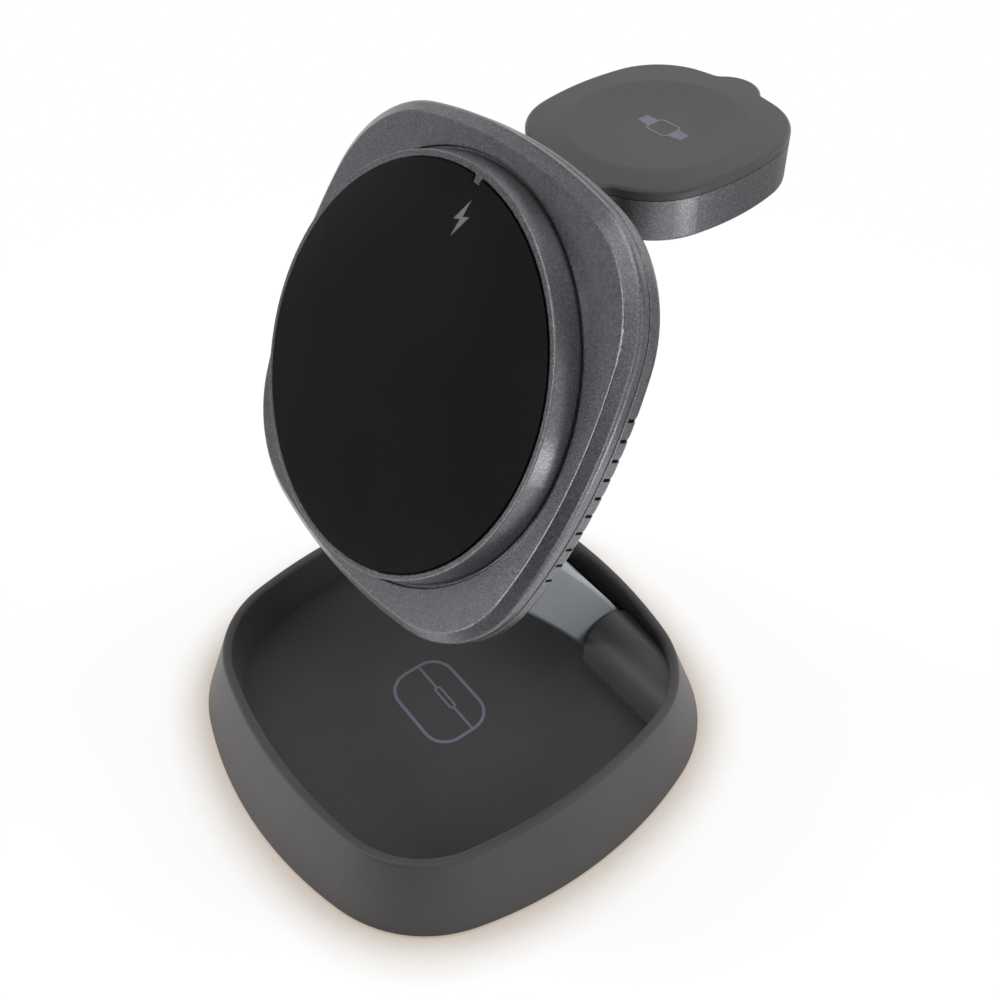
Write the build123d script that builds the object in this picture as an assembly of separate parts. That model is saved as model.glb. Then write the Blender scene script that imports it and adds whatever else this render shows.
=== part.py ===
from build123d import *
from math import acos, atan2, cos, hypot, radians, sin, sqrt
import os

# Folding three-in-one wireless charger: a tray base for earbuds, a bowed arm, a tilting phone pad
# and a fold-out watch module. Millimetres, +Z up, the user in front on the -Y side.
# Origin: middle of the underside of the foot pad. All three hinges turn about X.

# Base outline: a square with bowed sides and round corners, from centre to mid side
base_half = 45.0
base_side_radius = 79.0
base_corner_radius = 26.5
rim_lean = 6.3
rim_half = base_half - rim_lean
rim_side_radius = 97.0
rim_corner_radius = 20.0
rim_height = 14.8
rim_wall = 1.65
rim_round = 0.75
outer_wall = 1.8
inner_wall = 1.6
pocket_draft = 0.25
floor_wall = 0.9
foot_thickness = 0.5
foot_inset = 9.0
bottom_plate = 1.0
bottom_plate_gap = 0.65

# Earbuds coil, under the tray floor
buds_coil_y = -4.0
buds_coil_outer = 20.0
buds_coil_inner = 7.5
buds_coil_thickness = 0.7
buds_ferrite_outer = 21.5
ferrite_thin = 0.4

# Base hinge, set in from the back of the rim
hinge_set_in = 8.3
hinge_y = rim_half - hinge_set_in
hinge_z = 8.2
barrel_radius = 5.6
barrel_swing_gap = 0.3
web_height = 9.6
keeper_plate = 0.8
keeper_half = 27.0
keeper_width = 9.0
keeper_screw_x = 24.6

# Arm, bowed to the back between two equal round ends
arm_angle = 53.0
arm_length = 60.5
arm_half = 10.9
arm_end_radius = 5.2
arm_bow = 7.2
arm_waist = 3.8
arm_edge_round = 0.9
arm_wall = 1.9
arm_cover_thickness = 1.6
arm_cover_gap = 0.1
arm_screw_spread = 14.0
arm_screw_offset = 5.6
arm_screw_sink = 0.25
cable_width = 6.0
cable_thickness = 0.6

# Pins, washers and fits
arm_pin_radius = 2.0
watch_pin_radius = 1.5
pin_clearance = 0.05
washer_thickness = 0.5
washer_play = 0.05
washer_rim = 0.6
pin_stop = 0.6
pin_recess = 0.3

# Phone pad: heights are measured along the pad's normal from the front of the disc
pad_tilt = 30.0
pad_half = 35.5
pad_side_radius = 86.0
pad_corner_radius = 20.0
disc_radius = 29.0
disc_thickness = 1.2
disc_gap = 0.1
ring_width = 1.1
ring_drop = 0.2
ring_round = 0.25
boss_lean = 2.0
groove_width = 0.4
groove_depth = 0.4
groove_round = 0.2
boss_foot_radius = disc_radius + boss_lean
face_drop = 4.0
bevel_width = 1.85
bevel_drop = 1.3
frame_side = 1.6
frame_wall = 1.6
frame_draft = 0.1
edge_round = 0.5
shoulder_round = 0.9
parting_gap = 0.2
parting_round = 0.2
seam = 0.1
cover_inset = 0.05
cover_wall = 1.5
pad_thickness = 10.0
back_round = 1.4
lip_wall = 1.0
lip_gap = 0.15
lip_height = 1.0
ledge_width = 1.2
ledge_thickness = 1.2
notch_width = 1.4
notch_depth = 0.9
notch_x = 1.6

# Inside the pad, everything round set in from the edge of the disc
carrier_plate = 1.2
carrier_gap = 0.2
carrier_ring = 1.6
magnet_set_in = 1.8
magnet_width = 4.0
magnet_outer = disc_radius - magnet_set_in
magnet_inner = magnet_outer - magnet_width
magnet_count = 18
magnet_gap_angle = 3.0
coil_set_in = 1.7
ferrite_set_in = 1.0
pad_coil_outer = magnet_inner - coil_set_in
pad_coil_inner = 10.0
pad_coil_thickness = 1.2
pad_ferrite_outer = magnet_inner - ferrite_set_in
ferrite_thick = 0.8
pillar_radius = 1.8
pillar_set_in = 3.0
pillar_at = disc_radius - pillar_set_in
pad_board_x = 36.0
pad_board_y = 28.0
board_thickness = 1.0
chip_size = 7.0
choke_size = 5.0
cap_long = 3.2
cap_wide = 2.5
parts_headroom = 0.3
standoff_height = 1.2
standoff_radius = 1.5
standoff_inset = 3.5
pad_screw_at = 23.9

# Vents along both sides of the rear cover
vent_count = 10
vent_pitch = 2.74
vent_width = 0.5
vent_reach = 4.4
vent_top_drop = 0.4
scoop_depth = 1.2
scoop_reach = 2.2

# Pad hinge and watch hinge, behind the rear cover and set in from its lower and upper sides
pad_hinge_set_in = 10.5
pad_hinge_down = pad_half - pad_hinge_set_in
pad_hinge_gap = 0.4
ear_thickness = 4.0
ear_foot = 1.6
watch_hinge_set_in = 7.9
watch_hinge_up = pad_half - watch_hinge_set_in
watch_lug_half = 4.0
watch_fork_half = 7.5
watch_end_radius = 4.3
watch_hinge_gap = 0.4

# Watch module: heights are measured from the hinge axis
watch_tilt = 3.4
watch_half = 17.5
watch_side_radius = 40.0
watch_corner_radius = 11.3
watch_reach = 22.0
watch_top = 4.4
watch_thickness = 7.8
watch_lid = 1.35
watch_wall = 1.4
watch_floor = 1.1
watch_round = 0.6
neck_fillet = 4.0
tab_radius = 5.4
tab_stand_out = 2.0
tab_fillet = 2.0
dish_radius = 13.3
dish_depth = 0.3
watch_coil_outer = 11.5
watch_coil_inner = 5.2
watch_coil_thickness = 1.4
watch_magnet_radius = 4.5
watch_ferrite_outer = 12.4
watch_board_size = 15.0
watch_chip = 5.0
watch_chip_top = 1.6
watch_screw_at = 10.9
watch_boss_radius = 1.8

# Screws, one size of countersunk self-tapping screw in several lengths
screw_head_radius = 1.9
screw_head = 0.9
screw_radius = 0.95
screw_clearance = 0.08
screw_edge = 0.5
screw_boss_radius = 2.3
base_screw_length = 4.6
keeper_screw_length = 5.0
arm_screw_length = 7.0
pad_screw_length = 5.0
watch_screw_length = 5.6
recess_long = 1.9
recess_wide = 0.45
recess_deep = 0.5

# Power inlet, a 24-pin reversible socket at the middle of the back
socket_width = 8.94
socket_height = 3.2
socket_length = 5.8
socket_corner = 1.5
socket_wall = 0.3
socket_set_back = 0.25
socket_clearance = 0.15
tongue_width = 6.7
tongue_height = 0.7
tongue_set_back = 1.0
inlet_board_half = 8.8
inlet_board_thickness = 0.8
inlet_board_lift = 0.5
inlet_ledge = 2.4

# Heights of the base, from the table up
plate_top = foot_thickness + bottom_plate
coil_bottom = plate_top + ferrite_thin
floor_underside = coil_bottom + buds_coil_thickness
floor_top = floor_underside + floor_wall
barrel_foot = plate_top + keeper_plate
side_gap = washer_thickness + 2 * washer_play
pin_half = keeper_screw_x - screw_head_radius - pin_stop
barrel_end = arm_half + side_gap
wall_slope = (base_half - rim_half) / (rim_height - foot_thickness)

# Heights of the pad, along its normal
face_level = -face_drop
bevel_level = face_level - bevel_drop
frame_foot = bevel_level - frame_side
cover_lip_level = frame_foot - parting_gap
back_level = -pad_thickness
cover_floor = back_level + cover_wall
ledge_level = -disc_thickness
ledge_foot = ledge_level - ledge_thickness
ledge_inner = disc_radius - ledge_width
carrier_seat = ledge_foot - ferrite_thick - seam
carrier_foot = carrier_seat - carrier_plate
magnet_front = ledge_level - seam
frame_ceiling = face_level - frame_wall
cavity_radius = boss_foot_radius - frame_wall
pad_hinge_level = back_level - arm_end_radius - pad_hinge_gap
watch_hinge_level = back_level - watch_end_radius - watch_hinge_gap

# Heights of the watch module, from its hinge axis
lid_foot = watch_top - watch_lid
shell_top = lid_foot - seam
shell_foot = watch_top - watch_thickness
shell_floor = shell_foot + watch_floor
lug_gap = side_gap
fork_slot_half = watch_lug_half + lug_gap

# Frames of the moving bodies
hinge_point = Vector(0, hinge_y, hinge_z)
arm_direction = Vector(0, -cos(radians(arm_angle)), sin(radians(arm_angle)))
arm_frame = Plane(hinge_point, x_dir=arm_direction, z_dir=(-1, 0, 0))
pad_normal = Vector(0, -cos(radians(pad_tilt)), sin(radians(pad_tilt)))
pad_up = Vector(0, sin(radians(pad_tilt)), cos(radians(pad_tilt)))
pad_hinge_point = hinge_point + arm_direction * arm_length
pad_centre = pad_hinge_point + pad_up * pad_hinge_down - pad_normal * pad_hinge_level
pad_frame = Plane(pad_centre, x_dir=(1, 0, 0), z_dir=pad_normal)
watch_hinge_point = pad_centre + pad_up * watch_hinge_up + pad_normal * watch_hinge_level
watch_normal = Vector(0, -sin(radians(watch_tilt)), cos(radians(watch_tilt)))
watch_frame = Plane(watch_hinge_point, x_dir=(1, 0, 0), z_dir=watch_normal)


# Outline helpers

def corner_centre(half, side_radius, corner_radius):
    """Distance of a round corner's centre from both middle lines of a bowed square."""
    shift = side_radius - half
    reach = side_radius - corner_radius
    return (sqrt(2 * reach**2 - shift**2) - shift) / 2


def soft_square(half, side_radius, corner_radius, inset=0.0):
    """Square outline with bowed sides that run smoothly into round corners."""
    middle = corner_centre(half, side_radius, corner_radius)
    reach = side_radius - corner_radius
    half = half - inset
    corner = corner_radius - inset
    join_x = middle + corner * middle / reach
    join_y = middle + corner * (middle + side_radius - half - inset) / reach
    tip = middle + corner / sqrt(2)
    side = ThreePointArc((-join_x, join_y), (0, half), (join_x, join_y))
    bend = ThreePointArc((join_x, join_y), (tip, tip), (join_y, join_x))
    turns = [edge.rotate(Axis.Z, -90 * i) for i in range(4) for edge in (side, bend)]
    return make_face(turns)


def base_outline(inset=0.0):
    return soft_square(base_half, base_side_radius, base_corner_radius, inset)


def rim_outline(inset=0.0):
    return soft_square(rim_half, rim_side_radius, rim_corner_radius, inset)


def pad_outline(inset=0.0):
    return soft_square(pad_half, pad_side_radius, pad_corner_radius, inset)


def watch_outline(inset=0.0):
    return Pos(0, watch_reach) * soft_square(
        watch_half, watch_side_radius, watch_corner_radius, inset)


def between(lower, low, upper, high):
    """Solid with straight walls from one outline up to another."""
    return loft([Pos(0, 0, low) * lower, Pos(0, 0, high) * upper], ruled=True)


def prism(outline, low, high):
    """Solid that an outline sweeps from one height to another."""
    return extrude(Pos(0, 0, low) * outline, amount=high - low, dir=(0, 0, 1))


def post(radius, low, high, x=0.0, y=0.0):
    return Pos(x, y, low) * Cylinder(radius, high - low, align=(Align.CENTER, Align.CENTER, Align.MIN))


def ring(outer, inner, low, high):
    return post(outer, low, high) - post(inner, low, high)


def slab(x_low, x_high, y_low, y_high, z_low, z_high):
    """Box between two corners."""
    size = (x_high - x_low, y_high - y_low, z_high - z_low)
    return Pos(x_low, y_low, z_low) * Box(*size, align=(Align.MIN, Align.MIN, Align.MIN))


def side_rod(radius, x_low, x_high, y=0.0, z=0.0):
    """Round bar along X."""
    return Pos(x_low, y, z) * Rot(0, 90, 0) * Cylinder(
        radius, x_high - x_low, align=(Align.CENTER, Align.CENTER, Align.MIN))


def four(x, y):
    """Four places, mirrored in both middle lines."""
    return [(i * x, j * y) for i in (1, -1) for j in (1, -1)]


# Screws

def screw(length, grow=0.0):
    """Countersunk screw pointing down from the flat of its head at height zero; grown, it is its hole."""
    head = Pos(0, 0, -screw_head) * Cone(
        screw_radius + grow, screw_head_radius + grow, screw_head,
        align=(Align.CENTER, Align.CENTER, Align.MIN))
    return head + post(screw_radius + grow, -length - grow, 0)


def cross_recess_screw(length):
    bar = slab(-recess_long / 2, recess_long / 2, -recess_wide / 2, recess_wide / 2, -recess_deep, 0)
    return screw(length) - bar - Rot(0, 0, 90) * bar


# Base

plate_inset = outer_wall + bottom_plate_gap
plate_corner = corner_centre(base_half, base_side_radius, base_corner_radius) \
    + (base_corner_radius - plate_inset) / sqrt(2)
base_screw_at = plate_corner - (screw_head_radius + screw_clearance + screw_edge) / sqrt(2)
base_screw_places = [Pos(x, y, foot_thickness) * Rot(180, 0, 0)
                     for x, y in four(base_screw_at, base_screw_at)]
keeper_screw_places = [Pos(i * keeper_screw_x, hinge_y, plate_top) * Rot(180, 0, 0) for i in (1, -1)]

board_level = plate_top + inlet_board_lift
socket_level = board_level + inlet_board_thickness
socket_middle = socket_level + socket_height / 2
socket_mouth = base_half - wall_slope * (socket_middle - foot_thickness) - socket_set_back
socket_back = socket_mouth - socket_length


def barrel_section():
    """Hinge barrel: a half-round ridge on straight sides, with a web sloping off it to the back wall."""
    wall_y = rim_half - rim_wall + inner_wall / 2
    run = wall_y - hinge_y
    rise = web_height - hinge_z
    lean = atan2(rise, run) + acos(barrel_radius / hypot(run, rise))
    touch = (hinge_y + barrel_radius * cos(lean), hinge_z + barrel_radius * sin(lean))
    ridge = Pos(hinge_y, hinge_z) * Circle(barrel_radius)
    sides = Pos(hinge_y, (barrel_foot + hinge_z) / 2) * Rectangle(2 * barrel_radius, hinge_z - barrel_foot)
    web = make_face(Polyline((hinge_y, barrel_foot), (wall_y, barrel_foot), (wall_y, web_height), touch,
                             (hinge_y, hinge_z), close=True))
    foot_cut = Pos(hinge_y, barrel_foot - barrel_radius) * Rectangle(4 * barrel_radius, 2 * barrel_radius)
    return Plane.YZ * (ridge + sides + web - foot_cut)


def socket_outline(grow=0.0):
    return RectangleRounded(socket_width + 2 * grow, socket_height + 2 * grow, socket_corner + grow)


def along_back(outline, y_low, y_high):
    """Solid that an outline in X and Z sweeps along Y, centred on the socket's height."""
    plane = Plane((0, y_low, socket_middle), x_dir=(1, 0, 0), z_dir=(0, 1, 0))
    return extrude(plane * outline, amount=y_high - y_low)


def base_tray():
    outer = between(base_outline(), foot_thickness, rim_outline(), rim_height)
    pocket = between(rim_outline(rim_wall + pocket_draft), floor_top, rim_outline(rim_wall), rim_height)
    skin = between(rim_outline(rim_wall + pocket_draft - inner_wall), floor_underside,
                   rim_outline(rim_wall - inner_wall), rim_height)
    core = between(base_outline(outer_wall), foot_thickness, rim_outline(outer_wall), rim_height)
    shell = outer - pocket
    rim_edges = shell.edges().filter_by(lambda e: abs(e.center().Z - rim_height) < 0.001)
    shell = fillet(rim_edges, rim_round)
    shell = shell - (core - skin)

    barrel = extrude(barrel_section(), amount=rim_half, both=True) & prism(
        rim_outline(rim_wall - inner_wall / 2), barrel_foot, rim_height - rim_round)
    bosses = [post(screw_boss_radius, plate_top, rim_height / 2, x, y)
              for x, y in four(base_screw_at, base_screw_at)]
    shell = shell + barrel + [(boss & outer) - pocket for boss in bosses]

    # Inlet block, its pocket from below and the port through the back wall
    block_top = socket_level + socket_height + 2 * inner_wall
    block = slab(-inlet_board_half - inner_wall, inlet_board_half + inner_wall, socket_back - inner_wall,
                 base_half, plate_top, block_top)
    shell = shell + ((block & core) - pocket)
    board_room = slab(-inlet_board_half - socket_clearance, inlet_board_half + socket_clearance,
                      socket_back - socket_clearance, socket_mouth - outer_wall, 0, socket_level)
    socket_room = slab(-inlet_board_half + inlet_ledge, inlet_board_half - inlet_ledge,
                       socket_back - socket_clearance, socket_mouth - outer_wall,
                       0, socket_level + socket_height + socket_clearance)
    shell = shell - board_room - socket_room
    shell = shell - along_back(socket_outline(socket_clearance), socket_back, base_half)

    # Room for the arm's knuckle, a slot in the floor under it, and channels that take the pin from below
    swing = barrel_radius + barrel_swing_gap
    shell = shell - slab(-barrel_end, barrel_end, hinge_y - swing, hinge_y + swing, floor_top, rim_height)
    slot_half = sqrt((arm_end_radius + barrel_swing_gap)**2 - (hinge_z - floor_top)**2)
    shell = shell - slab(-barrel_end, barrel_end, hinge_y - slot_half, hinge_y + slot_half, 0, floor_top)
    bore = arm_pin_radius + pin_clearance
    shell = shell - side_rod(bore, -pin_half, pin_half, hinge_y, hinge_z)
    shell = shell - slab(-pin_half, pin_half, hinge_y - bore, hinge_y + bore, 0, hinge_z)

    for place in base_screw_places:
        shell = shell - place * screw(base_screw_length, screw_clearance)
    for place in keeper_screw_places:
        shell = shell - place * screw(keeper_screw_length, screw_clearance)
    return shell


def base_bottom_plate():
    plate = prism(base_outline(plate_inset), foot_thickness, plate_top)
    for place in base_screw_places:
        plate = plate - place * screw(base_screw_length, screw_clearance)
    return plate


def base_foot_pad():
    return prism(base_outline(foot_inset), 0, foot_thickness)


def earbuds_coil():
    return Pos(0, buds_coil_y) * ring(buds_coil_outer, buds_coil_inner, coil_bottom, floor_underside)


def earbuds_ferrite():
    return post(buds_ferrite_outer, plate_top, coil_bottom, 0, buds_coil_y)


def base_hinge_keeper():
    """Strip under the barrel with two saddles that close the pin channels."""
    strip = slab(-keeper_half, keeper_half, hinge_y - keeper_width / 2, hinge_y + keeper_width / 2,
                 plate_top, barrel_foot)
    for i in (1, -1):
        near = barrel_end + washer_play
        saddle = slab(near, pin_half - washer_play, hinge_y - arm_pin_radius, hinge_y + arm_pin_radius,
                      plate_top, hinge_z)
        strip = strip + (saddle if i > 0 else mirror(saddle, Plane.YZ))
    strip = strip - side_rod(arm_pin_radius + pin_clearance, -keeper_half, keeper_half, hinge_y, hinge_z)
    for place in keeper_screw_places:
        strip = strip - place * screw(keeper_screw_length, screw_clearance)
    return strip


def inlet_board():
    return slab(-inlet_board_half, inlet_board_half, socket_back,
                socket_mouth - outer_wall - socket_clearance, board_level, socket_level)


def usb_c_socket():
    can = along_back(socket_outline(), socket_back, socket_mouth)
    hollow = along_back(socket_outline(-socket_wall), socket_back + socket_wall, socket_mouth)
    return can - hollow


def usb_c_tongue():
    start = socket_back + socket_wall
    return along_back(Rectangle(tongue_width, tongue_height), start, socket_mouth - tongue_set_back)


# Arm, in its own frame: X along the arm, Y to its bowed back, Z across

def bow_radius():
    """Radius of the back arc that takes in both round ends."""
    rise = arm_bow - arm_end_radius
    return ((arm_length / 2)**2 / rise + arm_bow + arm_end_radius) / 2


def waist_radius():
    """Radius of the hollow front arc that both round ends run into."""
    fall = arm_end_radius - arm_waist
    return ((arm_length / 2)**2 / fall - arm_waist - arm_end_radius) / 2


def on_end(end, centre_y, sign):
    """Point where an arc about (arm_length / 2, centre_y) meets a round end."""
    dx = end - arm_length / 2
    span = hypot(dx, centre_y)
    return (end + sign * arm_end_radius * dx / span, -sign * arm_end_radius * centre_y / span)


def arm_section():
    back_centre = arm_bow - bow_radius()
    front_centre = -arm_waist - waist_radius()
    back = [on_end(end, back_centre, 1) for end in (0, arm_length)]
    front = [on_end(end, front_centre, -1) for end in (0, arm_length)]
    return make_face([
        ThreePointArc(back[0], (arm_length / 2, arm_bow), back[1]),
        ThreePointArc(back[1], (arm_length + arm_end_radius, 0), front[1]),
        ThreePointArc(front[1], (arm_length / 2, -arm_waist), front[0]),
        ThreePointArc(front[0], (-arm_end_radius, 0), back[0])])


arm_room_start = arm_end_radius + 2 * arm_wall
arm_room_end = arm_length - arm_room_start
arm_floor = arm_wall - arm_waist
arm_room_half = arm_half - arm_wall
arm_screw_spots = [(arm_length / 2 + i * arm_screw_spread, i * arm_screw_offset) for i in (1, -1)]


def back_disc(radius):
    """Thick disc about the centre of the arm's back arc."""
    return extrude(Pos(arm_length / 2, arm_bow - bow_radius()) * Circle(radius), amount=arm_half, both=True)


def arm_screw_places():
    bow = bow_radius()
    head = arm_bow - bow + sqrt(bow**2 - arm_screw_spread**2) - arm_screw_sink
    return [Pos(x, head, z) * Rot(-90, 0, 0) for x, z in arm_screw_spots]


def arm_shell():
    body = extrude(arm_section(), amount=arm_half, both=True)
    body = fillet(body.faces().filter_by(Axis.Z).edges(), arm_edge_round)
    room = slab(arm_room_start, arm_room_end, arm_floor, 2 * arm_bow, -arm_room_half, arm_room_half)
    body = body - room
    under_cover = back_disc(bow_radius() - arm_cover_thickness)
    for x, z in arm_screw_spots:
        boss = Pos(x, arm_floor, z) * Rot(-90, 0, 0) * post(screw_boss_radius, -arm_wall / 2, 2 * arm_bow)
        body = body + (boss & under_cover)
    for x in (0, arm_length):
        body = body - Pos(x, 0) * Cylinder(arm_pin_radius + pin_clearance, 3 * arm_half)
    for place in arm_screw_places():
        body = body - place * screw(arm_screw_length, screw_clearance)
    return body


def arm_back_cover():
    plate = back_disc(bow_radius()) - back_disc(bow_radius() - arm_cover_thickness)
    plate = plate & slab(arm_room_start + arm_cover_gap, arm_room_end - arm_cover_gap, 0, 2 * arm_bow,
                         -arm_room_half + arm_cover_gap, arm_room_half - arm_cover_gap)
    for place in arm_screw_places():
        plate = plate - place * screw(arm_screw_length, screw_clearance)
        plate = plate - place * post(screw_head_radius + screw_clearance, 0, arm_cover_thickness)
    return plate


def arm_flat_cable():
    return slab(arm_room_start, arm_room_end, arm_floor, arm_floor + cable_thickness,
                -cable_width / 2, cable_width / 2)


# Phone pad, in its own frame: Z out of the disc, Y up the pad

pad_screw_places = [Pos(x, y, back_level) * Rot(180, 0, 0) for x, y in four(pad_screw_at, pad_screw_at)]


def pad_front_frame():
    side = between(pad_outline(frame_draft), frame_foot, pad_outline(), bevel_level)
    bevel = between(pad_outline(), bevel_level, pad_outline(bevel_width), face_level)
    body = side + bevel
    body = fillet(body.faces().sort_by(Axis.Z)[-1].edges(), edge_round)
    shoulder = body.edges().filter_by(lambda e: abs(e.center().Z - bevel_level) < 0.01)
    body = fillet(shoulder.filter_by(lambda e: e.length > 2 * bevel_width), shoulder_round)
    groove_radius = boss_foot_radius + groove_width
    body = body - post(groove_radius, face_level - groove_depth, face_level)
    lip = body.edges().filter_by(GeomType.CIRCLE).filter_by(
        lambda e: abs(e.center().Z - face_level) < 0.01 and abs(e.radius - groove_radius) < 0.01)
    body = fillet(lip, groove_round)
    top = -ring_drop
    boss = Pos(0, 0, frame_foot) * Cone(
        boss_foot_radius + (boss_foot_radius - disc_radius - ring_width) / (top - face_level)
        * (face_level - frame_foot), disc_radius + ring_width, top - frame_foot,
        align=(Align.CENTER, Align.CENTER, Align.MIN))
    boss = boss & post(2 * pad_half, face_level - frame_wall / 2, top)
    boss = boss - post(disc_radius + disc_gap, ledge_level, 0)
    boss = fillet(boss.edges().group_by(Axis.Z)[-1], ring_round)
    body = body + boss
    body = body - post(disc_radius + disc_gap, ledge_level, 0)
    body = body - post(ledge_inner, frame_foot, 0)
    body = body - post(cavity_radius, frame_foot, ledge_foot)
    room = prism(pad_outline(frame_wall), frame_foot, frame_ceiling)
    for x, y in four(pad_screw_at, pad_screw_at):
        room = room - post(screw_boss_radius, frame_foot, frame_ceiling, x, y)
    body = body - room
    for place in pad_screw_places:
        body = body - place * screw(pad_screw_length, screw_clearance)
    key = slab(notch_x - notch_width / 2, notch_x + notch_width / 2, disc_radius - notch_depth,
               disc_radius + ring_width / 2, ledge_level, top)
    return body + key


def pad_disc():
    notch = slab(notch_x - notch_width / 2 - disc_gap, notch_x + notch_width / 2 + disc_gap,
                 disc_radius - notch_depth - disc_gap, disc_radius + ring_width, ledge_level, 0)
    return post(disc_radius, ledge_level, 0) - notch


def pad_carrier():
    """Plate behind the coil and magnets, with a rim that stands against the ledge."""
    outer = cavity_radius - carrier_gap
    rim = ring(outer, outer - carrier_ring, carrier_seat, ledge_foot)
    return post(outer, carrier_foot, carrier_seat) + rim


def pad_magnets():
    """Ring of arc magnets round the coil."""
    step = 360 / magnet_count
    middle = Pos((magnet_inner + magnet_outer) / 2, (carrier_seat + magnet_front) / 2)
    section = Plane.XZ * (middle * Rectangle(magnet_outer - magnet_inner, magnet_front - carrier_seat))
    arc = revolve(section, Axis.Z, revolution_arc=step - magnet_gap_angle)
    return [Rot(0, 0, i * step + 90 + magnet_gap_angle / 2) * arc for i in range(magnet_count)]


def pad_ferrite():
    return post(pad_ferrite_outer, carrier_seat, carrier_seat + ferrite_thick)


def pad_coil():
    foot = carrier_seat + ferrite_thick
    return ring(pad_coil_outer, pad_coil_inner, foot, foot + pad_coil_thickness)


def pad_board():
    """Circuit board with its main parts: a driver chip, a coil choke and two capacitors."""
    low = cover_floor + standoff_height
    top = low + board_thickness
    board = slab(-pad_board_x / 2, pad_board_x / 2, -pad_board_y / 2, pad_board_y / 2, low, top)
    tall = carrier_foot - top - parts_headroom
    half = chip_size / 2
    chip = slab(-half, half, -half, half, top, top + tall / 2)
    choke = slab(-half - 2 * choke_size, -half - choke_size, -choke_size / 2, choke_size / 2,
                 top, top + tall)
    caps = [slab(x, x + cap_long, half, half + cap_wide, top, top + tall)
            for x in (half + cap_wide, half + cap_long + 2 * cap_wide)]
    return board + chip + choke + caps


def hinge_lug(radius, y, z, x_low, x_high, flare=0.0):
    """Round hinge eye on a foot, straight or flared, on the back of the rear cover."""
    eye = Pos(y, z) * Circle(radius)
    foot = make_face(Polyline(
        (y - radius, z), (y + radius, z), (y + radius + flare, back_level + cover_wall / 2),
        (y - radius - flare, back_level + cover_wall / 2), close=True))
    return Pos(x_low, 0, 0) * extrude(Plane.YZ * (eye + foot), amount=x_high - x_low)


def vent(side, y):
    """Slot through the side of the rear cover, with a scoop above it where it leaves over the back edge."""
    x_low, x_high = sorted((side * (pad_half - vent_reach), side * (pad_half + vent_reach)))
    top = y + vent_width / 2
    foot = back_level - cover_wall
    slot = slab(x_low, x_high, y - vent_width / 2, top, foot, cover_lip_level - vent_top_drop)
    wedge = make_face(Polyline(
        (top, back_level + scoop_depth), (top, foot), (top + scoop_depth + cover_wall, foot), close=True))
    near, far = sorted((side * (pad_half - scoop_reach), side * (pad_half + scoop_reach)))
    return slot + Pos(near, 0, 0) * extrude(Plane.YZ * wedge, amount=far - near)


def pad_rear_cover():
    body = prism(pad_outline(cover_inset), back_level, cover_lip_level)
    body = fillet(body.faces().sort_by(Axis.Z)[0].edges(), back_round)
    body = fillet(body.faces().sort_by(Axis.Z)[-1].edges(), parting_round)
    body = body - prism(pad_outline(cover_inset + cover_wall), cover_floor, cover_lip_level)
    lip_out = frame_wall + lip_gap
    lip_top = cover_lip_level + lip_height
    lip = prism(pad_outline(lip_out), cover_floor, lip_top) \
        - prism(pad_outline(lip_out + lip_wall), cover_floor, lip_top)
    body = body + lip
    for side in (1, -1):
        for i in range(vent_count):
            body = body - vent(side, (i - (vent_count - 1) / 2) * vent_pitch)
    for x, y in four(pad_screw_at, pad_screw_at):
        body = body + post(screw_boss_radius, cover_floor, frame_foot, x, y)
    for x, y in ((pillar_at, 0), (-pillar_at, 0), (0, pillar_at), (0, -pillar_at)):
        body = body + post(pillar_radius, cover_floor, carrier_foot, x, y)
    board_spots = four(pad_board_x / 2 - standoff_inset, pad_board_y / 2 - standoff_inset)
    for x, y in board_spots:
        body = body + post(standoff_radius, cover_floor, cover_floor + standoff_height, x, y)
    ear_in = arm_half + side_gap
    for x in (ear_in, -ear_in - ear_thickness):
        body = body + hinge_lug(arm_end_radius, -pad_hinge_down, pad_hinge_level,
                                x, x + ear_thickness, ear_foot)
    body = body + hinge_lug(watch_end_radius, watch_hinge_up, watch_hinge_level,
                            -watch_lug_half, watch_lug_half)
    body = body - side_rod(arm_pin_radius + pin_clearance, -pad_half, pad_half, -pad_hinge_down,
                           pad_hinge_level)
    body = body - side_rod(watch_pin_radius + pin_clearance, -pad_half, pad_half, watch_hinge_up,
                           watch_hinge_level)
    for place in pad_screw_places:
        body = body - place * screw(pad_screw_length, screw_clearance)
    return body


# Watch module, in its own frame: X across, Y away from the hinge, Z up

watch_screw_spots = [(x, watch_reach + y) for x, y in four(watch_screw_at, watch_screw_at)]
watch_screw_places = [Pos(x, y, shell_foot) * Rot(180, 0, 0) for x, y in watch_screw_spots]


def hollow_web(first, middle, second, inside, radius):
    """Web in an inner corner: hollow about the middle point, touching both walls at its ends."""
    web = make_face(Polyline(first, middle, second, inside, close=True)) - Pos(*middle) * Circle(radius)
    return web + mirror(web, Plane.YZ)


def neck_webs():
    """Hollow corners where the neck runs into the round corners of the module."""
    corner = corner_centre(watch_half, watch_side_radius, watch_corner_radius)
    middle_x = watch_fork_half + neck_fillet
    reach = watch_corner_radius + neck_fillet
    drop = sqrt(reach**2 - (middle_x - corner)**2)
    corner_y = watch_reach - corner
    middle = (middle_x, corner_y - drop)
    share = watch_corner_radius / reach
    touch = (corner + (middle_x - corner) * share, corner_y - drop * share)
    return hollow_web((watch_fork_half, middle[1]), middle, touch, (0, corner_y), neck_fillet)


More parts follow.
